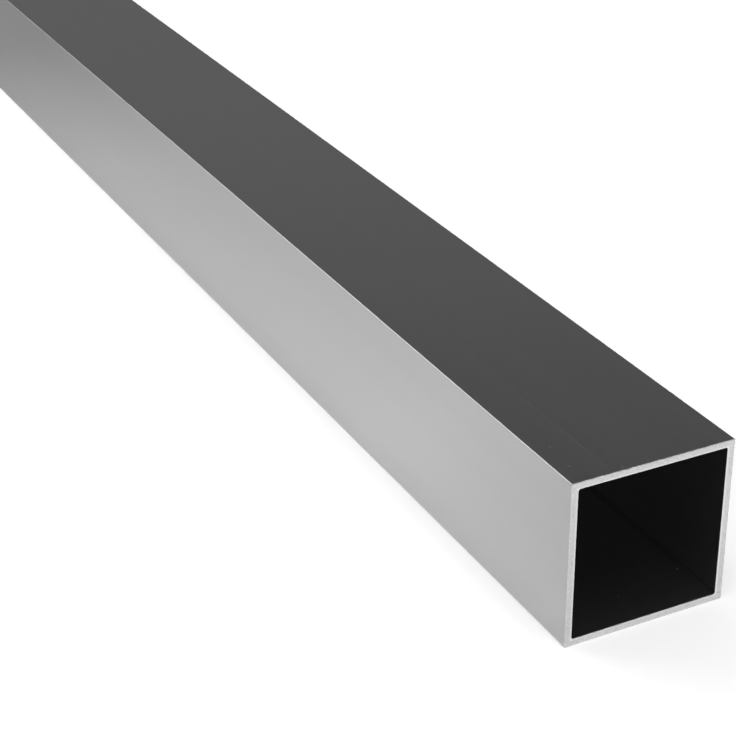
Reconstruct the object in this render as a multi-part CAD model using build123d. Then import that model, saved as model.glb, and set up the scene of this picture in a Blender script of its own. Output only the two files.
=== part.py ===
from build123d import *
import os

# Extruded aluminium square tube, sawn to length at both ends.
# Millimetres. The tube lies along X on its lower face, and the origin is under its middle.

# Driving dimensions
SIDE = 35.5  # outside width across the flats
WALL = 1.5  # wall thickness, the same on all four sides
LENGTH = 1000.0  # stock length, one metre
OUTER_CORNER_RADIUS = 0.4  # rounding that the die gives the four long outer edges
INNER_CORNER_RADIUS = 0.5  # rounding in the four long inner corners
SAWN_EDGE_BREAK = 0.15  # chamfer that takes the burr off each sawn rim, outside and inside

# Worked out from the driving dimensions
BORE = SIDE - 2 * WALL
MID_HEIGHT = SIDE / 2
HALF_LENGTH = LENGTH / 2


def die_section():
    """Section that the die gives the tube: a rounded square ring, its centre at the origin."""
    outline = RectangleRounded(SIDE, SIDE, OUTER_CORNER_RADIUS)
    opening = RectangleRounded(BORE, BORE, INNER_CORNER_RADIUS)
    return outline - opening


def extruded_length():
    """Section pressed out along X and cut square at both ends."""
    sawn_plane = Plane(origin=(-HALF_LENGTH, 0, MID_HEIGHT), x_dir=(0, 1, 0), z_dir=(1, 0, 0))
    return extrude(sawn_plane * die_section(), LENGTH)


def rim_edges(tube, end):
    """Edges of the sawn ring at one end, both round the outside and round the bore."""
    sawn_ring = tube.faces().sort_by(Axis.X)[end]
    return sawn_ring.edges()


def broken_edges(tube):
    """Tube with the burr taken off both sawn ends."""
    for end in (0, -1):
        tube = chamfer(rim_edges(tube, end), SAWN_EDGE_BREAK)
    return tube


def square_tube():
    return broken_edges(extruded_length())


parts = {"square_tube": square_tube()}

os.makedirs("parts", exist_ok=True)
for name, solid in parts.items():
    export_step(solid, f"parts/{name}.step")
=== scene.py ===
import math

import bmesh
import bpy
from bpy.props import FloatProperty, FloatVectorProperty, PointerProperty
from mathutils import Matrix, Vector


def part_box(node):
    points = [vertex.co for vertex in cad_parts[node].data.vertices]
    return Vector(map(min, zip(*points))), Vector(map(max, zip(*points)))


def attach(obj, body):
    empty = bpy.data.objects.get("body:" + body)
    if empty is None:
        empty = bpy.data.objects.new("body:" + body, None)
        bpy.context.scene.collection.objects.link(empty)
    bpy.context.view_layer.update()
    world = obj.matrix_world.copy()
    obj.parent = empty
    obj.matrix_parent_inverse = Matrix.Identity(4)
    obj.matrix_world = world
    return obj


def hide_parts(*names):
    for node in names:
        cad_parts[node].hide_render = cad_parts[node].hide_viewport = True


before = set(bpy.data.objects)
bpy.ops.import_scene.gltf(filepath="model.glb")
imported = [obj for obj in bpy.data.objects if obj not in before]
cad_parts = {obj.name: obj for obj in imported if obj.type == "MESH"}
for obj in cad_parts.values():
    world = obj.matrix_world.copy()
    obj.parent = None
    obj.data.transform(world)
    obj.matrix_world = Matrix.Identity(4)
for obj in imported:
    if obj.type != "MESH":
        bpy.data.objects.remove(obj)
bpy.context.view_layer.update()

bl_info = {
    "name": "Square aluminium tube",
    "version": (1, 0, 0),
    "blender": (4, 5, 0),
    "location": "3D View > Sidebar > Square Tube",
    "description": "Models a sawn length of anodised square tube and the studio that it is shown in",
    "category": "Add Mesh",
}

# Metres. The tube lies along X on the floor, and the origin is under its middle.
MM = 0.001
LOWEST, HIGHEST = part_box("square_tube")
EXACT = 0.001 * MM  # two places nearer than this are the same
PARALLEL = 0.999  # cosine past which a direction counts as parallel to an axis

# Steps of the modelling that nobody would want to change
CORNER_SEGMENTS = 6
RIM_SEGMENTS = 2
SUPPORT = 0.05 * MM  # narrow band right behind each rim, which keeps the faces next to it flat
TRANSITION = 2.5 * MM  # stretch of wall behind each rim in which the fine mesh of the cut runs out
COLUMNS = (15, 14)  # cuts along each straight side of a sawn face, made one after the other
ROWS = 8  # cuts across the wall on a sawn face

# The saw. Its hub stood beside and above the middle of the cut, here in radii of the blade.
HUB_ASIDE = 0.35
HUB_ABOVE = 0.93
CHIP_SIZE = 0.45 * MM  # size of the chips along the sawn rims
OUTER_WEAR = 0.7  # how deep the outer rim is chipped, as a share of the rim of the bore

# Marks on the upper face, in millimetres: behind the near end, across, half length, half width
# and depth. The three long ones make up one drawing line of the die, the others are small dents.
UPPER_FACE_MARKS = (
    (13.3, -14.2, 0.40, 0.28, 0.060),
    (5.6, -14.8, 0.35, 0.28, 0.060),
    (1.1, -6.4, 0.35, 0.3, 0.045),
    (10.0, -8.85, 12.0, 0.14, 0.011),
    (27.0, -8.85, 18.0, 0.14, 0.010),
    (46.0, -8.85, 18.0, 0.14, 0.008),
    (30.6, 4.5, 0.4, 0.3, 0.008),
    (28.0, -1.5, 0.4, 0.3, 0.008),
    (56.0, -2.5, 0.5, 0.3, 0.010),
    (87.0, 10.0, 0.6, 0.4, 0.010),
)
MARK_BRIGHTENING = 6.0  # how much brighter a mark is drawn in colour, for each millimetre of its depth

# Painted shade (below zero) and painted light (above zero) on the near sawn face: darker low
# down and along its -Y edge, brighter high on its +Y edge. In millimetres and a share of its tone:
# across, height, half width, half height, change
SAWN_FACE_PAINTED_LIGHT_AND_SHADE = (
    (-17.0, 12.0, 3.0, 26.0, -0.07),
    (-17.0, 1.0, 4.0, 10.0, -0.03),
    (17.0, 3.0, 3.0, 12.0, -0.06),
    (17.0, 24.0, 3.0, 14.0, 0.03),
    (5.0, 0.7, 12.0, 3.0, -0.03),
)

# Pits in the near sawn face, in millimetres: across, height, half width, half height, weight
SAWN_FACE_PITS = (
    (-17.2, 28.9, 0.22, 0.18, 0.8),
    (-17.2, 30.6, 0.18, 0.16, 0.6),
    (-16.8, 18.5, 0.16, 0.30, 0.6),
    (17.0, 24.3, 0.20, 0.20, 0.7),
    (2.4, 35.0, 0.22, 0.14, 0.5),
    (4.4, 1.45, 0.20, 0.14, 1.0),
    (17.2, 1.5, 0.25, 0.16, 1.0),
)

# Specks of grit on the bore's floor, in millimetres: behind the near end, across, size and weight
BORE_SPECKS = (
    (10.6, 14.9, 0.35, 1.0),
    (7.8, -0.7, 0.30, 0.6),
)

MARK_THICKNESS = 0.3 * MM  # how far a mark reaches above and below the upper face
SPOT_THICKNESS = 0.4 * MM  # how far a patch or pit reaches before and behind the sawn face
MARK_CORE = 0.3  # share of a mark's reach within which it has its full weight

# Bounds that a noise hardly leaves, and those of two noises summed
ONE_NOISE = {"From Min": 0.3, "From Max": 0.7}
TWO_NOISES = {"From Min": 0.7, "From Max": 1.3}

# Sockets of a Mix node for colours, which share their names with those for numbers
FACTOR, COLOUR_A, COLOUR_B = 0, 6, 7
MIXED = 2

# Degrees above the horizon between which the ceiling goes from its low tone to its middle one,
# and from that to its high one
CEILING_LOW_TO_MIDDLE = (6, 16)
CEILING_MIDDLE_TO_HIGH = (24.5, 33.5)

# The net on the floor, with a white card under it. Places are along X from the near end, and
# along Y from the tube's axis. Shares are of the light that the net takes.
FLOOR_NET_LENGTH = 1.2
FLOOR_NET_WIDTH = 0.5
FLOOR_NET_GAP = 0.15 * MM  # between the net and the tube's side
FLOOR_NET_HEIGHT = 0.5 * MM  # above the floor
EVEN_SHARE = 0.055  # what the net takes all over
NEAR_SHARE = 0.13  # what it takes more at its near end
FAR_SHARE = 0.16  # what it takes more at its far end
NEAR_STRETCH = (-0.08, -0.02)  # X over which the near share comes in
NET_START = -0.09  # X at which the net starts to grow dense
FAR_START = -0.27  # X at which the far share starts to come in
ASIDE_STRETCH = (-0.02, -0.06)  # Y over which the net grows dense away from the foot
CARD_ACROSS = (-0.018, -0.04)  # Y over which the card's light fades out
CARD_STRETCH = (-0.02, -0.105)  # X over which it fades out
CARD_BRIGHTEST = 1.5  # how much brighter the card is at the near end of that stretch
CARD_END = (0.0, -0.01)  # X over which it comes in, right at the near end
CARD_END_LIGHT = 0.2  # share of its light that it starts with there

# The net that stands over the tube, square to it
STANDING_NET_PLACE = (0.3, 0.15, 0.29)
STANDING_NET_WIDTH = 0.8
STANDING_NET_HEIGHT = 0.5
STANDING_NET_FADE = (-0.2, -0.11)  # heights from its middle over which it comes in

# The veil of faint light in the bore
VEIL_GAP = 0.3 * MM  # between the veil and the bore's walls
VEIL_INSET = 1 * MM  # from each sawn end


def linear(hex_colour):
    """Linear red, green and blue of an sRGB colour written as six hex digits."""
    parts = [int(hex_colour[i:i + 2], 16) / 255 for i in (0, 2, 4)]
    return [p / 12.92 if p <= 0.04045 else ((p + 0.055) / 1.055) ** 2.4 for p in parts]


class TubeSizes(bpy.types.PropertyGroup):
    """Sizes of the tube."""
    length: FloatProperty(
        name="Length", description="From one sawn end to the other",
        default=HIGHEST.x - LOWEST.x, unit="LENGTH")
    side: FloatProperty(
        name="Side", description="Outside width across the flats",
        default=HIGHEST.y - LOWEST.y, unit="LENGTH")
    wall: FloatProperty(
        name="Wall", description="Thickness of all four walls", default=1.5 * MM, unit="LENGTH")
    outer_radius: FloatProperty(
        name="Outer corner radius", description="Rounding of the four long outer edges",
        default=0.25 * MM, unit="LENGTH")
    inner_radius: FloatProperty(
        name="Inner corner radius", description="Rounding in the four long inner corners",
        default=0.5 * MM, unit="LENGTH")
    rim_break: FloatProperty(
        name="Rim break", description="Width of the broken edge round each sawn face",
        default=0.1 * MM, unit="LENGTH")
    blade_radius: FloatProperty(
        name="Saw blade radius", description="Radius of the blade that cut the tube to length",
        default=175 * MM, unit="LENGTH")
    tooth_pitch: FloatProperty(
        name="Tooth mark pitch", description="Distance from one mark of the saw to the next",
        default=0.5 * MM, unit="LENGTH")
    tooth_depth: FloatProperty(
        name="Tooth mark depth", description="Depth of the marks of the saw",
        default=0.015 * MM, unit="LENGTH")
    rim_wear: FloatProperty(
        name="Rim wear", description="Depth of the small chips along the sawn rims",
        default=0.08 * MM, unit="LENGTH")


class TubeFinish(bpy.types.PropertyGroup):
    """Colours and roughness of the tube's three surfaces."""
    skin_colour: FloatVectorProperty(
        name="Anodised skin", description="Colour of the satin anodised outside",
        default=linear("BABABA"), subtype="COLOR", min=0, max=1)
    skin_roughness: FloatProperty(
        name="Skin roughness", description="Roughness of the satin anodised outside",
        default=0.33, subtype="FACTOR", min=0, max=1)
    sawn_colour: FloatVectorProperty(
        name="Sawn end", description="Colour of the bare metal at the sawn ends",
        default=linear("D8D8D8"), subtype="COLOR", min=0, max=1)
    sawn_roughness: FloatProperty(
        name="Sawn roughness", description="Roughness of the bare metal at the sawn ends",
        default=0.45, subtype="FACTOR", min=0, max=1)
    # Set darker than the skin: partly the duller metal inside, partly painted shade of the bore
    bore_colour: FloatVectorProperty(
        name="Bore", description="Colour of the inside of the tube",
        default=linear("929292"), subtype="COLOR", min=0, max=1)
    bore_roughness: FloatProperty(
        name="Bore roughness", description="Roughness of the inside of the tube",
        default=0.305, subtype="FACTOR", min=0, max=1)


class StudioSettings(bpy.types.PropertyGroup):
    """Camera, lamps, floor and ceiling."""
    camera_place: FloatVectorProperty(
        name="Camera place", description="Where the camera stands",
        default=(0.74183, -0.17794, 0.20901), subtype="XYZ", unit="LENGTH")
    camera_azimuth: FloatProperty(
        name="Camera azimuth", description="Turn of the view about the vertical, 0 along +Y",
        default=math.radians(63.603), subtype="ANGLE")
    camera_elevation: FloatProperty(
        name="Camera elevation", description="How far the view looks down",
        default=math.radians(27.498), subtype="ANGLE")
    camera_roll: FloatProperty(
        name="Camera roll", description="Turn of the view about its own axis",
        default=math.radians(-0.573), subtype="ANGLE")
    camera_lens: FloatProperty(
        name="Lens", description="Focal length on a 36 mm sensor, in millimetres", default=92.531)
    floor_colour: FloatVectorProperty(
        name="Floor", description="Colour of the pale floor",
        default=linear("F5F5F5"), subtype="COLOR", min=0, max=1)
    floor_width: FloatProperty(
        name="Floor width", description="Width of the floor", default=24, unit="LENGTH")
    floor_glow: FloatProperty(
        name="Floor glow", default=0.193,
        description="Light that the floor has of its own right under the soft lamp")
    ceiling_colour: FloatVectorProperty(
        name="Ceiling", description="Middle colour of the dark ceiling that the metal mirrors",
        default=linear("848484"), subtype="COLOR", min=0, max=1)
    ceiling_low_colour: FloatVectorProperty(
        name="Ceiling low", description="Colour of the ceiling just above the horizon",
        default=linear("5C5C5C"), subtype="COLOR", min=0, max=1)
    ceiling_high_colour: FloatVectorProperty(
        name="Ceiling overhead", description="Colour of the ceiling high up, where it is darker",
        default=linear("424242"), subtype="COLOR", min=0, max=1)
    ceiling_radius: FloatProperty(
        name="Ceiling radius", description="Distance of the ceiling", default=8.0, unit="LENGTH")
    ceiling_foot: FloatProperty(
        name="Ceiling foot", description="Height above the horizon at which the ceiling starts",
        default=math.radians(1), subtype="ANGLE")
    lamp_place: FloatVectorProperty(
        name="Lamp place", description="Where the soft lamp hangs",
        default=(1.2, -0.2, 2.6), subtype="XYZ", unit="LENGTH")
    lamp_size: FloatProperty(
        name="Lamp size", description="Width of the soft lamp", default=1.4, unit="LENGTH")
    lamp_power: FloatProperty(
        name="Lamp power", description="Power of the soft lamp", default=38.7, unit="POWER")
    edge_lamp_place: FloatVectorProperty(
        name="Edge lamp place", description="Where the small lamp stands that draws the long edge",
        default=(-0.40, -0.62, 0.50), subtype="XYZ", unit="LENGTH")
    edge_lamp_size: FloatProperty(
        name="Edge lamp size", description="Width of the edge lamp", default=0.7, unit="LENGTH")
    edge_lamp_power: FloatProperty(
        name="Edge lamp power", description="Power of the edge lamp", default=3.8, unit="POWER")
    sky_strength: FloatProperty(
        name="Sky strength", description="Strength of the even light from all round", default=0.32)
    standing_density: FloatProperty(
        name="Standing net", description="Share of the ceiling's light that the standing net takes",
        default=0.11, subtype="FACTOR", min=0, max=1)
    foot_light: FloatProperty(
        name="Foot light", description="Light of the white card along the tube's foot",
        default=0.08)
    bore_light: FloatProperty(
        name="Light in the bore", default=0.0051,
        description="Strength of the light of many reflections in the bore")
    net_reach: FloatProperty(
        name="Net reach", description="Distance from the near end over which the net grows dense",
        default=0.4, unit="LENGTH")
    net_density: FloatProperty(
        name="Net density", default=0.37, subtype="FACTOR", min=0, max=1,
        description="Share of the floor's light that the net takes more once it is dense")
    net_density_across: FloatProperty(
        name="Net density across", default=0.08, subtype="FACTOR", min=0, max=1,
        description="Share of the floor's light that it takes more away from the tube's foot")


def node(tree, kind, sockets=None, **settings):
    """Adds a node of a kind, written without the ShaderNode in front, with its settings.

    A socket is given its value or what it is linked from: an output, or a node, which stands for
    its first output.
    """
    made = tree.nodes.new("ShaderNode" + kind)
    for name, value in settings.items():
        setattr(made, name, value)
    for name, value in (sockets or {}).items():
        if isinstance(value, bpy.types.Node):
            value = value.outputs[0]
        if isinstance(value, bpy.types.NodeSocket):
            tree.links.new(value, made.inputs[name])
        else:
            made.inputs[name].default_value = value
    return made


def empty_material(name):
    material = bpy.data.materials.new(name)
    material.use_nodes = True
    material.node_tree.nodes.clear()
    return material, material.node_tree


def opaque(colour):
    return (*colour, 1.0)


def tinted(colour, factor):
    return opaque([channel * factor for channel in colour])


def lengthwise(tree, place, across, along, detail):
    """Noise drawn out along the tube, as a die leaves it: across and along are sizes in metres."""
    stretched = node(tree, "Mapping", {
        "Vector": place, "Scale": (1 / along, 1 / across, 1 / across)})
    return node(tree, "TexNoise", {
        "Vector": stretched, "Scale": 1.0, "Detail": detail, "Roughness": 0.55})


def small_marks(tree, place, marks):
    """For each mark its weight in its middle, down to nothing at its rim."""
    total = 0.0
    for centre, reach, weight in marks:
        scale = [1 / each for each in reach]
        moved = [-where * each for where, each in zip(centre, scale)]
        near = node(tree, "Mapping", {"Vector": place, "Location": moved, "Scale": scale})
        distance = node(tree, "VectorMath", {0: near}, operation="LENGTH").outputs["Value"]
        mark = node(tree, "MapRange", {
            "Value": distance, "From Min": MARK_CORE, "From Max": 1.0,
            "To Min": weight, "To Max": 0.0})
        total = node(tree, "Math", {0: total, 1: mark})
    return total


def satin_anodised_extrusion(sizes, finish):
    """Extruded aluminium, etched and natural anodised.

    The etch leaves a fine even grain that spreads every reflection into a satin sheen. The die
    leaves faint lines along the whole length, which the etch softens but doesn't remove. The upper
    face has small dents, and one clearer line of the die near its near end.
    """
    material, tree = empty_material("satin_anodised_extrusion")
    place = node(tree, "TexCoord").outputs["Object"]
    bands = lengthwise(tree, place, across=4 * MM, along=700 * MM, detail=1.0)
    lines = lengthwise(tree, place, across=0.8 * MM, along=260 * MM, detail=3.0)
    grain = 0.35 * MM  # the real etch is 0.05 mm, too fine to show
    etch = node(tree, "TexNoise", {
        "Vector": place, "Scale": 1 / grain, "Detail": 2.0, "Roughness": 0.6})

    streaks = node(tree, "Math", {0: bands, 1: lines})
    tone = node(tree, "MapRange", {"Value": streaks, **TWO_NOISES})
    colour = node(tree, "Mix", {
        FACTOR: tone,
        COLOUR_A: tinted(finish.skin_colour, 0.985),
        COLOUR_B: tinted(finish.skin_colour, 1.015)}, data_type="RGBA").outputs[MIXED]
    lines_and_etch = node(tree, "Math", {0: lines, 1: etch})
    unevenness = 0.03
    rough = node(tree, "MapRange", {
        "Value": lines_and_etch, **TWO_NOISES,
        "To Min": finish.skin_roughness - unevenness,
        "To Max": finish.skin_roughness + unevenness})
    etch_depth = node(tree, "Math", {0: etch, 1: 0.25}, operation="MULTIPLY")
    relief = node(tree, "Math", {0: lines, 1: etch_depth})
    bump = node(tree, "Bump", {"Height": relief, "Distance": 0.006 * MM, "Strength": 1.0})

    near_end, top = sizes.length / 2, sizes.side
    marks = small_marks(tree, place, [
        ((near_end - behind * MM, across * MM, top), (along * MM, wide * MM, MARK_THICKNESS), depth)
        for behind, across, along, wide, depth in UPPER_FACE_MARKS])
    dents = node(tree, "Bump", {
        "Height": marks, "Distance": 1 * MM, "Strength": 1.0, "Normal": bump}, invert=True)
    # The marks are drawn brighter in colour, the more so the deeper they are
    gain = node(tree, "Math", {0: marks, 1: MARK_BRIGHTENING}, operation="MULTIPLY")
    brightened_mark = node(tree, "Math", {0: gain, 1: 1.0})
    skin = node(tree, "VectorMath", {0: colour, "Scale": brightened_mark}, operation="SCALE")
    shader = node(tree, "BsdfPrincipled", {
        "Base Color": skin, "Metallic": 1.0, "Roughness": rough, "Normal": dents})
    node(tree, "OutputMaterial", {"Surface": shader})
    return material


def bare_sawn_aluminium(sizes, finish):
    """Aluminium cut by a carbide saw after the anodising, so bare, bright and matt.

    The marks of the teeth are in the mesh. Between them the metal is torn into short flecks along
    the cut, with a few small pits, and it is smeared brighter along the rim of the bore, where the
    burr was.
    """
    material, tree = empty_material("bare_sawn_aluminium")
    place = node(tree, "TexCoord").outputs["Object"]
    along_the_cut = node(tree, "Mapping", {
        "Vector": place, "Rotation": (math.radians(20), 0, 0),
        "Scale": (1 * MM, 0.9 * MM, 0.28 * MM)}, vector_type="TEXTURE")
    flecks = node(tree, "TexNoise", {
        "Vector": along_the_cut, "Scale": 1.0, "Detail": 2.0, "Roughness": 0.6})
    tear = 0.25 * MM  # the real tearing is 0.1 mm, drawn coarser to show
    torn = node(tree, "TexNoise", {
        "Vector": place, "Scale": 1 / tear, "Detail": 3.0, "Roughness": 0.6})

    flecks_and_torn = node(tree, "Math", {0: flecks, 1: torn})
    tone = node(tree, "MapRange", {"Value": flecks_and_torn, **TWO_NOISES})
    metal = node(tree, "Mix", {
        FACTOR: tone,
        COLOUR_A: tinted(finish.sawn_colour, 0.82),
        COLOUR_B: tinted(finish.sawn_colour, 1.14)}, data_type="RGBA").outputs[MIXED]
    # Painted light and shade on the near sawn face: darker low down and along its -Y edge, brighter
    # high on its +Y edge
    painted_light_and_shade = small_marks(tree, place, on_near_face(sizes, SAWN_FACE_PAINTED_LIGHT_AND_SHADE))
    change = node(tree, "Math", {0: painted_light_and_shade, 1: 1.0})
    lit_and_shaded_metal = node(tree, "VectorMath", {0: metal, "Scale": change}, operation="SCALE")
    bore_edge = sizes.side / 2 - sizes.wall
    burr_end, full_burr = bore_edge + 0.5 * MM, bore_edge + 0.1 * MM
    burr = node(tree, "MapRange", {
        "Value": wall_reach(tree, place, sizes), "From Min": burr_end, "From Max": full_burr})
    smeared = node(tree, "Mix", {
        FACTOR: burr, COLOUR_A: lit_and_shaded_metal, COLOUR_B: tinted(finish.sawn_colour, 1.25)},
        data_type="RGBA").outputs[MIXED]
    pits = small_marks(tree, place, on_near_face(sizes, SAWN_FACE_PITS))
    pit_shade = node(tree, "Math", {0: pits, 1: 0.6}, operation="MULTIPLY")
    colour = node(tree, "Mix", {
        FACTOR: pit_shade, COLOUR_A: smeared, COLOUR_B: tinted(finish.sawn_colour, 0.5)},
        data_type="RGBA").outputs[MIXED]

    unevenness = 0.06
    rough = node(tree, "MapRange", {
        "Value": torn, **ONE_NOISE,
        "To Min": finish.sawn_roughness - unevenness,
        "To Max": finish.sawn_roughness + unevenness})
    pit_depth = node(tree, "Math", {0: pits, 1: 4.0}, operation="MULTIPLY")
    relief = node(tree, "Math", {0: flecks_and_torn, 1: pit_depth}, operation="SUBTRACT")
    bump = node(tree, "Bump", {"Height": relief, "Distance": 0.02 * MM, "Strength": 1.0})
    shader = node(tree, "BsdfPrincipled", {
        "Base Color": colour, "Metallic": 1.0, "Roughness": rough, "Normal": bump})
    node(tree, "OutputMaterial", {"Surface": shader})
    return material


def on_near_face(sizes, spots):
    """Spots listed in millimetres on the near sawn face, as marks."""
    return [
        ((sizes.length / 2, across * MM, height * MM),
         (SPOT_THICKNESS, wide * MM, high * MM), weight)
        for across, height, wide, high, weight in spots]


def wall_reach(tree, place, sizes):
    """Distance from the tube's axis, measured square to the nearest wall."""
    axes = node(tree, "SeparateXYZ", {"Vector": place})
    aside = node(tree, "Math", {0: axes.outputs["Y"]}, operation="ABSOLUTE")
    up = node(tree, "Math", {0: axes.outputs["Z"], 1: sizes.side / 2}, operation="SUBTRACT")
    up_or_down = node(tree, "Math", {0: up}, operation="ABSOLUTE")
    return node(tree, "Math", {0: aside, 1: up_or_down}, operation="MAXIMUM")


def anodised_bore(sizes, finish):
    """The same extrusion on its inside, where the mandrel drags and little of the etch gets in.

    It is drawn greyer than the outside: partly the duller metal inside, partly painted shade of
    the bore. It has coarser lines along the length and a few specks of grit that the saw left
    behind.
    """
    material, tree = empty_material("anodised_bore")
    place = node(tree, "TexCoord").outputs["Object"]
    lines = lengthwise(tree, place, across=1.2 * MM, along=300 * MM, detail=3.0)
    lined = node(tree, "Mix", {
        FACTOR: lines,
        COLOUR_A: tinted(finish.bore_colour, 0.97),
        COLOUR_B: tinted(finish.bore_colour, 1.03)}, data_type="RGBA").outputs[MIXED]
    near_end, bore_floor = sizes.length / 2, sizes.wall
    specks = small_marks(tree, place, [
        ((near_end - behind * MM, across * MM, bore_floor), [size * MM] * 3, weight)
        for behind, across, size, weight in BORE_SPECKS])
    colour = node(tree, "Mix", {
        FACTOR: specks, COLOUR_A: lined, COLOUR_B: opaque(finish.sawn_colour)},
        data_type="RGBA").outputs[MIXED]
    unevenness = 0.008
    worn = node(tree, "MapRange", {
        "Value": lines, **ONE_NOISE,
        "To Min": finish.bore_roughness - unevenness,
        "To Max": finish.bore_roughness + unevenness})
    gritty = node(tree, "Math", {0: specks, 1: 0.25}, operation="MULTIPLY")
    rough = node(tree, "Math", {0: worn, 1: gritty})
    bump = node(tree, "Bump", {"Height": lines, "Distance": 0.004 * MM, "Strength": 1.0})
    shader = node(tree, "BsdfPrincipled", {
        "Base Color": colour, "Metallic": 1.0, "Roughness": rough, "Normal": bump})
    node(tree, "OutputMaterial", {"Surface": shader})
    return material


def matt_pale_floor(studio):
    """Painted board, matt and pale. A little light of its own makes it look white."""
    material, tree = empty_material("matt_pale_floor")
    board = node(tree, "BsdfDiffuse", {"Color": opaque(studio.floor_colour)})
    strength = node(tree, "Math", {
        0: seen_or_mirrored(tree), 1: floor_light(tree, studio)}, operation="MULTIPLY")
    glow = node(tree, "Emission", {"Strength": strength})
    both = node(tree, "AddShader", {0: board, 1: glow})
    node(tree, "OutputMaterial", {"Surface": both})
    return material


def floor_light(tree, studio):
    """Strength of the floor's own light.

    It makes up for the soft lamp, which gives the floor less and less away from the place right
    under it: (1 + (distance / height) ** 2) ** -2 of what it gives there.
    """
    aside_x, aside_y, height = studio.lamp_place
    place = node(tree, "TexCoord").outputs["Object"]
    off = node(tree, "VectorMath", {
        0: place, 1: (aside_x, aside_y, 0)}, operation="DISTANCE").outputs["Value"]
    slope = node(tree, "Math", {0: off, 1: height}, operation="DIVIDE")
    square = node(tree, "Math", {0: slope, 1: 2.0}, operation="POWER")
    spread = node(tree, "Math", {0: square, 1: 1.0})
    share = node(tree, "Math", {0: spread, 1: -2.0}, operation="POWER")
    right_under = studio.lamp_power / (math.pi * height) ** 2 * studio.floor_colour[0]
    missing = node(tree, "Math", {0: 1.0, 1: share}, operation="SUBTRACT")
    loss = node(tree, "Math", {0: missing, 1: right_under}, operation="MULTIPLY")
    return node(tree, "Math", {0: loss, 1: studio.floor_glow})


def dark_ceiling_cloth(studio):
    """Dark cloth of the studio, an even tone whatever light falls on it."""
    material, tree = empty_material("dark_ceiling_cloth")
    place = node(tree, "TexCoord").outputs["Object"]
    height = node(tree, "SeparateXYZ", {"Vector": place}).outputs["Z"]
    cloth = opaque(studio.ceiling_low_colour)
    for angles, next_colour in (
            (CEILING_LOW_TO_MIDDLE, studio.ceiling_colour),
            (CEILING_MIDDLE_TO_HIGH, studio.ceiling_high_colour)):
        low, high = [studio.ceiling_radius * math.sin(math.radians(each)) for each in angles]
        share = node(tree, "MapRange", {"Value": height, "From Min": low, "From Max": high})
        cloth = node(tree, "Mix", {
            FACTOR: share, COLOUR_A: cloth, COLOUR_B: opaque(next_colour)},
            data_type="RGBA").outputs[MIXED]
    light = node(tree, "Emission", {"Color": cloth})
    node(tree, "OutputMaterial", {"Surface": light})
    return material


def graded_black_net(studio):
    """Black net over a white card: denser away from the near end, lighter along the tube's foot."""
    material, tree = empty_material("graded_black_net")
    place = node(tree, "TexCoord").outputs["Object"]
    axes = node(tree, "SeparateXYZ", {"Vector": place})
    share = EVEN_SHARE
    for axis, start, end, added in (
            ("X", NET_START, -studio.net_reach, studio.net_density),
            ("X", FAR_START, -studio.net_reach, FAR_SHARE),
            ("X", *NEAR_STRETCH, NEAR_SHARE),
            ("Y", *ASIDE_STRETCH, studio.net_density_across)):
        part = node(tree, "MapRange", {
            "Value": axes.outputs[axis], "From Min": start, "From Max": end,
            "To Min": 0.0, "To Max": added})
        share = node(tree, "Math", {0: share, 1: part})
    lift = studio.foot_light
    for axis, start, end, first, last in (
            ("Y", *CARD_ACROSS, 1.0, 0.0),
            ("X", *CARD_STRETCH, CARD_BRIGHTEST, 0.0),
            ("X", *CARD_END, CARD_END_LIGHT, 1.0)):
        part = node(tree, "MapRange", {
            "Value": axes.outputs[axis], "From Min": start, "From Max": end,
            "To Min": first, "To Max": last})
        lift = node(tree, "Math", {0: lift, 1: part}, operation="MULTIPLY")
    card = node(tree, "Emission", {"Strength": lift})
    both = node(tree, "AddShader", {0: netting(tree, share), 1: card})
    node(tree, "OutputMaterial", {"Surface": both})
    return material


def standing_black_net(studio):
    """Black net, denser from its lower edge up."""
    material, tree = empty_material("standing_black_net")
    place = node(tree, "TexCoord").outputs["Object"]
    height = node(tree, "SeparateXYZ", {"Vector": place}).outputs["Z"]
    low, high = STANDING_NET_FADE
    share = node(tree, "MapRange", {
        "Value": height, "From Min": low, "From Max": high, "To Max": studio.standing_density})
    node(tree, "OutputMaterial", {"Surface": netting(tree, share)})
    return material


def netting(tree, share):
    """Shader of a net that takes that share of the light behind it."""
    clear = node(tree, "BsdfTransparent")
    black = node(tree, "Emission", {"Strength": 0.0})
    return node(tree, "MixShader", {0: share, 1: clear, 2: black})


def faint_light_veil(studio):
    """Clear air with a very faint light of its own."""
    material, tree = empty_material("faint_light_veil")
    clear = node(tree, "BsdfTransparent")
    light = node(tree, "Emission", {"Strength": studio.bore_light})
    both = node(tree, "AddShader", {0: clear, 1: light})
    node(tree, "OutputMaterial", {"Surface": both})
    return material


def seen_or_mirrored(tree):
    """One for what the camera sees, directly or in metal or glass, and zero for falling light."""
    path = node(tree, "LightPath")
    mirrored = node(tree, "Math", {
        0: path.outputs["Is Glossy Ray"], 1: path.outputs["Is Transmission Ray"]},
        operation="MAXIMUM")
    return node(tree, "Math", {
        0: path.outputs["Is Camera Ray"], 1: mirrored}, operation="MAXIMUM")


def new_mesh(name):
    """A new empty mesh object, under edit."""
    bpy.ops.object.select_all(action="DESELECT")
    bpy.ops.mesh.primitive_plane_add(size=1)
    made = bpy.context.object
    made.name = made.data.name = name
    bpy.ops.object.mode_set(mode="EDIT")
    bpy.ops.mesh.delete(type="VERT")
    return made


def select(kind, test):
    """Selects the edited mesh's verts, edges or faces that pass the test, and nothing else."""
    bpy.ops.mesh.select_mode(type={"verts": "VERT", "edges": "EDGE", "faces": "FACE"}[kind])
    bpy.ops.mesh.select_all(action="DESELECT")
    data = bpy.context.edit_object.data
    mesh = bmesh.from_edit_mesh(data)
    for element in getattr(mesh, kind):
        if test(element):
            element.select_set(True)
    mesh.select_flush_mode()
    bmesh.update_edit_mesh(data)


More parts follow.
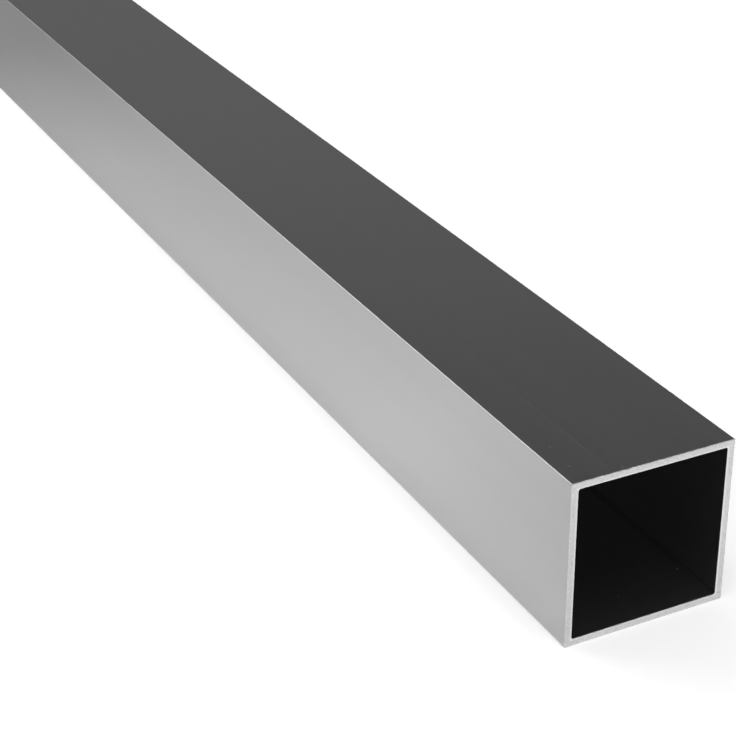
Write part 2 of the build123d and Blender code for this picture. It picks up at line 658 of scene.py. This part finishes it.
def rounded_square(width, radius, middle):
    """Adds the outline of a square that stands across X, its corners rounded."""
    bpy.ops.mesh.select_mode(type="VERT")
    bpy.ops.mesh.primitive_plane_add(size=width, location=middle, rotation=(0, math.radians(90), 0))
    bpy.ops.mesh.bevel(affect="VERTICES", offset=radius, segments=CORNER_SEGMENTS)
    bpy.ops.mesh.delete(type="ONLY_FACE")


def pressed_tube(sizes):
    """The section of the die, pressed out over the whole length."""
    near = Vector((sizes.length / 2, 0, sizes.side / 2))
    rounded_square(sizes.side, sizes.outer_radius, near)
    rounded_square(sizes.side - 2 * sizes.wall, sizes.inner_radius, near)
    bpy.ops.mesh.select_all(action="SELECT")
    bpy.ops.mesh.bridge_edge_loops()
    bpy.ops.mesh.extrude_region_move(TRANSFORM_OT_translate={"value": (-sizes.length, 0, 0)})
    bpy.ops.mesh.select_all(action="SELECT")
    bpy.ops.mesh.normals_make_consistent(inside=False)


def broken_rims(sizes):
    """Takes the burr off the sawn rims, outside and inside."""
    bpy.ops.mesh.select_mode(type="EDGE")
    bpy.ops.mesh.select_all(action="DESELECT")
    bpy.ops.mesh.edges_select_sharp(sharpness=math.radians(60))
    bpy.ops.mesh.bevel(offset=sizes.rim_break, segments=RIM_SEGMENTS, profile=0.5)


def transition_cuts(sizes):
    """Cuts right round the tube behind each rim, so that no fine face is a metre long."""
    for behind in (sizes.rim_break + SUPPORT, TRANSITION):
        for end in (-1, 1):
            bpy.ops.mesh.select_all(action="SELECT")
            bpy.ops.mesh.bisect(
                plane_co=(end * (sizes.length / 2 - behind), 0, 0), plane_no=(1, 0, 0))


def fine_sawn_faces(sizes):
    """Divides the sawn faces and their rims finely enough to carry the marks of the saw."""
    rim_start = sizes.length / 2 - sizes.rim_break - SUPPORT - EXACT
    face_place = sizes.length / 2 - EXACT
    longest = sizes.side

    def beyond(edge, place):
        return all(abs(v.co.x) > place for v in edge.verts)

    def upright(edge):
        return abs(edge.verts[0].co.x - edge.verts[1].co.x) < EXACT

    for cuts in COLUMNS:
        select("edges", lambda e: beyond(e, rim_start) and upright(e)
               and is_straight(e, sizes) and e.calc_length() > 0.5 * longest)
        bpy.ops.mesh.subdivide(number_cuts=cuts, ngon=False)
        longest = longest / (cuts + 1)
    select("edges", lambda e: beyond(e, face_place) and e.calc_length() > 0.5 * sizes.wall)
    bpy.ops.mesh.subdivide(number_cuts=ROWS, ngon=False)


def is_straight(edge, sizes):
    """True for an edge along one of the four sides, so not across the wall or round a corner."""
    a, b = (v.co for v in edge.verts)
    middle = (a + b) / 2
    across = Vector((0, middle.y, middle.z - sizes.side / 2))
    way = (b - a).normalized()
    if abs(across.y) > abs(across.z):
        return abs(way.z) > PARALLEL
    return abs(way.y) > PARALLEL


def saw_marks(tube, sizes):
    """Presses the arcs of a circular saw into both sawn faces."""
    arcs = bpy.data.textures.new("saw_arcs", "WOOD")
    arcs.wood_type = "RINGNOISE"
    arcs.noise_basis_2 = "SIN"
    arcs.noise_scale = 2.0
    arcs.turbulence = 4.0
    rings = 2 * math.pi / 20  # the texture's rings are this far apart in its own units
    blade = sizes.blade_radius
    hub = (0, HUB_ASIDE * blade, sizes.side / 2 + HUB_ABOVE * blade)
    face_start = sizes.length / 2 - EXACT
    press_in(tube, "sawn_faces", lambda place: float(abs(place.x) > face_start),
             arcs, hub, sizes.tooth_pitch / rings, sizes.tooth_depth)


def worn_rims(tube, sizes):
    """Chips the rims a little all the way round, as the teeth leave them where they break out."""
    chips = bpy.data.textures.new("rim_chips", "CLOUDS")
    chips.noise_scale = 1.0
    chips.noise_depth = 1
    rim_start = sizes.length / 2 - sizes.rim_break + EXACT
    middle = Vector((0, 0, sizes.side / 2))
    outer = sizes.side / 2 - sizes.rim_break - EXACT
    inner = sizes.side / 2 - sizes.wall + sizes.rim_break + EXACT

    def share_of_wear(place):
        reach = max(abs(place.y), abs(place.z - middle.z))
        if abs(place.x) < rim_start or inner < reach < outer:
            return 0.0
        return 1.0 if reach < inner else OUTER_WEAR

    press_in(tube, "rims", share_of_wear, chips, middle, CHIP_SIZE, sizes.rim_wear)


def press_in(tube, name, share, texture, centre, scale, depth):
    """Presses a texture of that scale into the metal, at each point to its share of the depth."""
    group = tube.vertex_groups.new(name=name)
    for vertex in tube.data.vertices:
        group.add([vertex.index], share(vertex.co), "REPLACE")
    bpy.ops.object.empty_add(location=centre)
    guide = bpy.context.object
    guide.scale = (scale, scale, scale)
    bpy.ops.object.select_all(action="DESELECT")
    tube.select_set(True)
    bpy.context.view_layer.objects.active = tube
    bpy.ops.object.modifier_add(type="DISPLACE")
    press = tube.modifiers[-1]
    press.texture = texture
    press.texture_coords = "OBJECT"
    press.texture_coords_object = guide
    press.vertex_group = group.name
    press.strength = depth
    press.mid_level = 1.0
    bpy.ops.object.modifier_apply(modifier=press.name)
    bpy.data.objects.remove(guide)
    bpy.data.textures.remove(texture)


def smooth_roundings(tube):
    """Smooth shading in the roundings, and flat right up to them on the flat faces."""
    bpy.ops.object.shade_smooth_by_angle(angle=math.radians(30))
    bpy.ops.object.modifier_add(type="WEIGHTED_NORMAL")
    weighted = tube.modifiers[-1]
    weighted.weight = 100
    weighted.keep_sharp = True
    bpy.ops.object.modifier_apply(modifier=weighted.name)


def assign_finishes(tube, sizes, finish):
    """Skin outside, bare metal on the sawn faces and their rims, bore inside."""
    finishes = (satin_anodised_extrusion, bare_sawn_aluminium, anodised_bore)
    for make in finishes:
        tube.data.materials.append(make(sizes, finish))
    middle = Vector((0, 0, sizes.side / 2))
    bore_reach = sizes.side / 2 - sizes.wall / 2
    for face in tube.data.polygons:
        place = face.center - middle
        if abs(place.x) > sizes.length / 2 - sizes.rim_break:
            face.material_index = finishes.index(bare_sawn_aluminium)
        elif max(abs(place.y), abs(place.z)) < bore_reach:
            face.material_index = finishes.index(anodised_bore)


class MESH_OT_square_tube_add(bpy.types.Operator):
    """Model the square tube with its sawn ends, in place of the plain solid"""
    bl_idname = "mesh.square_tube_add"
    bl_label = "Square Tube"
    bl_options = {"REGISTER", "UNDO"}

    def execute(self, context):
        sizes, finish = context.scene.tube_sizes, context.scene.tube_finish
        tube = new_mesh("extruded_square_tube")
        pressed_tube(sizes)
        broken_rims(sizes)
        transition_cuts(sizes)
        fine_sawn_faces(sizes)
        bpy.ops.object.mode_set(mode="OBJECT")
        saw_marks(tube, sizes)
        worn_rims(tube, sizes)
        smooth_roundings(tube)
        assign_finishes(tube, sizes, finish)
        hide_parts("square_tube")
        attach(tube, "root")
        return {"FINISHED"}


def pale_floor(studio):
    bpy.ops.mesh.primitive_plane_add(size=studio.floor_width)
    floor = bpy.context.object
    floor.name = "floor"
    floor.data.materials.append(matt_pale_floor(studio))


def dark_ceiling(studio):
    """A dark dome over the whole studio, open above the horizon. Only the metal sees it."""
    bpy.ops.mesh.primitive_uv_sphere_add(segments=72, ring_count=36, radius=studio.ceiling_radius)
    ceiling = bpy.context.object
    ceiling.name = "ceiling"
    bpy.ops.object.mode_set(mode="EDIT")
    foot = studio.ceiling_radius * math.sin(studio.ceiling_foot)
    select("faces", lambda face: face.calc_center_median().z < foot)
    bpy.ops.mesh.delete(type="FACE")
    bpy.ops.object.mode_set(mode="OBJECT")
    ceiling.data.materials.append(dark_ceiling_cloth(studio))
    only_in_the_metal(ceiling)


def floor_net(studio):
    """A net over the floor beside the tube, which the pale side mirrors."""
    bpy.ops.mesh.primitive_plane_add(size=1)
    net = bpy.context.object
    net.name = "net"
    bpy.ops.transform.resize(value=(FLOOR_NET_LENGTH, FLOOR_NET_WIDTH, 1))
    beside_the_tube = LOWEST.y - FLOOR_NET_GAP - FLOOR_NET_WIDTH / 2
    bpy.ops.transform.translate(value=(-FLOOR_NET_LENGTH / 2, beside_the_tube, FLOOR_NET_HEIGHT))
    bpy.ops.object.transform_apply(location=True, rotation=False, scale=True)
    net.location = (HIGHEST.x, 0, 0)
    net.data.materials.append(graded_black_net(studio))
    only_in_the_metal(net)


def light_in_the_bore(sizes, studio):
    """A veil of faint light just off the bore's walls, for the light of its many reflections."""
    bpy.ops.mesh.primitive_cube_add(size=1)
    veil = bpy.context.object
    veil.name = "bore_veil"
    bpy.ops.object.mode_set(mode="EDIT")
    select("faces", lambda face: abs(face.normal.x) > PARALLEL)
    bpy.ops.mesh.delete(type="ONLY_FACE")
    bpy.ops.object.mode_set(mode="OBJECT")
    length = sizes.length - 2 * VEIL_INSET
    width = sizes.side - 2 * (sizes.wall + VEIL_GAP)
    bpy.ops.transform.resize(value=(length, width, width))
    bpy.ops.object.transform_apply(location=False, rotation=False, scale=True)
    veil.location = (0, 0, sizes.side / 2)
    veil.data.materials.append(faint_light_veil(studio))
    only_in_the_metal(veil)


def standing_net(studio):
    """A dark net that stands over the tube, denser high up, where the near end mirrors it."""
    bpy.ops.mesh.primitive_plane_add(size=1)
    net = bpy.context.object
    net.name = "standing_net"
    net.rotation_euler = (0, math.radians(90), 0)
    bpy.ops.transform.resize(value=(1, STANDING_NET_WIDTH, STANDING_NET_HEIGHT))
    bpy.ops.object.transform_apply(location=False, rotation=True, scale=True)
    net.location = STANDING_NET_PLACE
    net.data.materials.append(standing_black_net(studio))
    only_in_the_metal(net)


def only_in_the_metal(board):
    """Keeps a board of the studio out of sight, save as a reflection, and out of the light."""
    board.visible_camera = False
    board.visible_diffuse = False
    board.visible_shadow = False
    board.visible_transmission = False


def soft_lamp(name, place, target, size, power):
    bpy.ops.object.light_add(type="AREA", location=place)
    lamp = bpy.context.object
    lamp.name = name
    lamp.data.energy = power
    lamp.data.shape = "SQUARE"
    lamp.data.size = size
    aim = target - lamp.location
    lamp.rotation_euler = aim.to_track_quat("-Z", "Y").to_euler()


def even_sky(scene, studio):
    """White for the eye and in the metal, and a plain even light on everything else."""
    world = bpy.data.worlds.new("even_sky")
    scene.world = world
    world.use_nodes = True
    world.cycles.sampling_method = "NONE"
    tree = world.node_tree
    tree.nodes.clear()
    strength = node(tree, "MapRange", {
        "Value": seen_or_mirrored(tree), "To Min": studio.sky_strength, "To Max": 1.0})
    white = node(tree, "Background", {"Color": opaque((1, 1, 1)), "Strength": strength})
    node(tree, "OutputWorld", {"Surface": white})


def camera(scene, studio):
    bpy.ops.object.camera_add(location=studio.camera_place)
    made = bpy.context.object
    turn = Matrix.Rotation(studio.camera_azimuth, 3, "Z")
    tilt = Matrix.Rotation(math.radians(90) - studio.camera_elevation, 3, "X")
    roll = Matrix.Rotation(studio.camera_roll, 3, "Z")
    made.rotation_euler = (turn @ tilt @ roll).to_euler()
    made.data.sensor_width = 36
    made.data.lens = studio.camera_lens
    made.data.clip_start = 0.01
    made.data.clip_end = 100
    scene.camera = made


class SCENE_OT_tube_studio_add(bpy.types.Operator):
    """Set up the floor, ceiling, lamps, sky and camera"""
    bl_idname = "scene.tube_studio_add"
    bl_label = "Studio"
    bl_options = {"REGISTER", "UNDO"}

    def execute(self, context):
        scene = context.scene
        sizes, studio = scene.tube_sizes, scene.tube_studio
        pale_floor(studio)
        dark_ceiling(studio)
        floor_net(studio)
        standing_net(studio)
        light_in_the_bore(sizes, studio)
        right_under = Vector((*studio.lamp_place[:2], 0))
        near_end = Vector((HIGHEST.x, 0, HIGHEST.z))
        soft_lamp("soft_lamp", studio.lamp_place, right_under, studio.lamp_size, studio.lamp_power)
        soft_lamp("edge_lamp", studio.edge_lamp_place, near_end, studio.edge_lamp_size,
                  studio.edge_lamp_power)
        even_sky(scene, studio)
        camera(scene, studio)
        scene.view_settings.view_transform = "Standard"
        return {"FINISHED"}


class VIEW3D_PT_square_tube(bpy.types.Panel):
    """Sizes and finish of the tube, and its studio."""
    bl_label = "Square Tube"
    bl_space_type = "VIEW_3D"
    bl_region_type = "UI"
    bl_category = "Square Tube"

    def draw(self, context):
        scene = context.scene
        for group, operator in (
                (scene.tube_sizes, None),
                (scene.tube_finish, "mesh.square_tube_add"),
                (scene.tube_studio, "scene.tube_studio_add")):
            box = self.layout.box()
            for name in group.bl_rna.properties.keys():
                if name not in ("rna_type", "name"):
                    box.prop(group, name)
            if operator:
                box.operator(operator)


GROUPS = {"tube_sizes": TubeSizes, "tube_finish": TubeFinish, "tube_studio": StudioSettings}
OPERATORS = (MESH_OT_square_tube_add, SCENE_OT_tube_studio_add)
CLASSES = (*GROUPS.values(), *OPERATORS, VIEW3D_PT_square_tube)


def register():
    for each in CLASSES:
        bpy.utils.register_class(each)
    for name, group in GROUPS.items():
        setattr(bpy.types.Scene, name, PointerProperty(type=group))


def unregister():
    for name in GROUPS:
        delattr(bpy.types.Scene, name)
    for each in reversed(CLASSES):
        bpy.utils.unregister_class(each)


def main():
    register()
    bpy.ops.scene.tube_studio_add()
    bpy.ops.mesh.square_tube_add()


if __name__ == "__main__":
    main()
